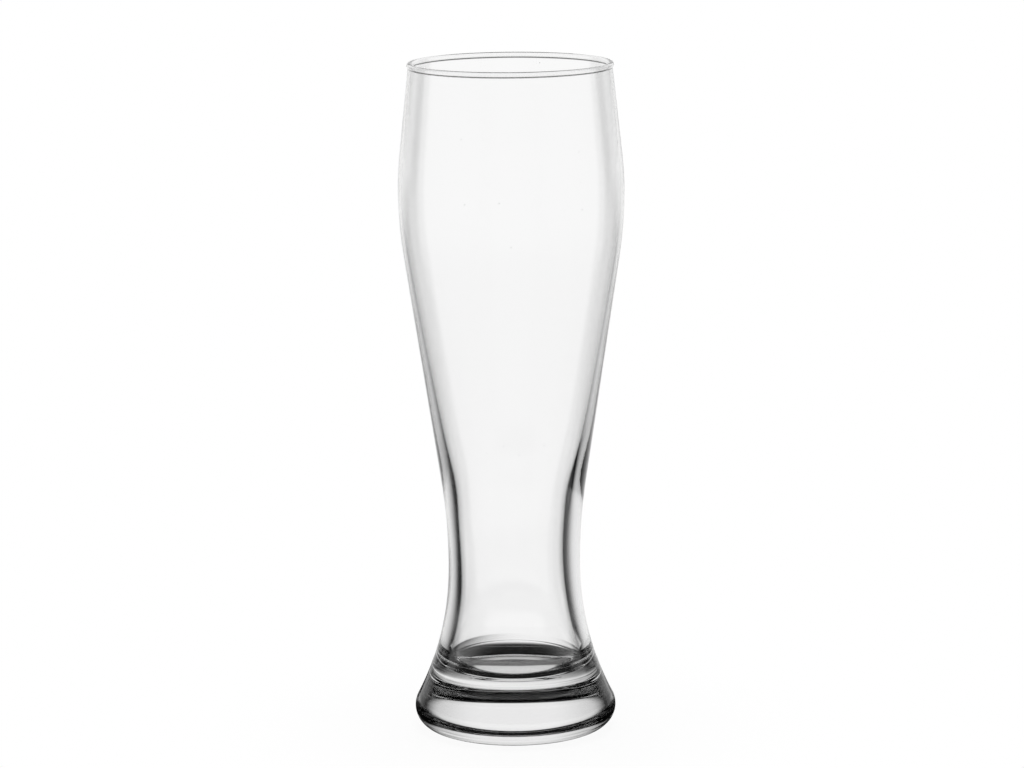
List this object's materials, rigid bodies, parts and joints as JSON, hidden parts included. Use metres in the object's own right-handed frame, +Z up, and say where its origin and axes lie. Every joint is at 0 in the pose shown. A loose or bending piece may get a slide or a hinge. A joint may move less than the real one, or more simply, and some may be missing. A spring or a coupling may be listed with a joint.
{
  "type": "beer glass",
  "caption": "Tall waisted wheat beer glass: a thin clear bowl swells to a rounded shoulder under a beaded rim and flares below the waist into a heavy round foot.",
  "frame": {"origin": "on the axis of revolution, in the plane of the foot's standing ring", "axes": "+Z up along the axis of revolution, from the foot to the rim; X and Y are alike"},
  "size_m": [0.0766, 0.0766, 0.23],
  "materials": {
    "glass": "clear colourless soda-lime glass, fire-polished"
  },
  "bodies": {
    "root": {"bowl": "glass", "foot": "glass"}
  },
  "joints": []
}
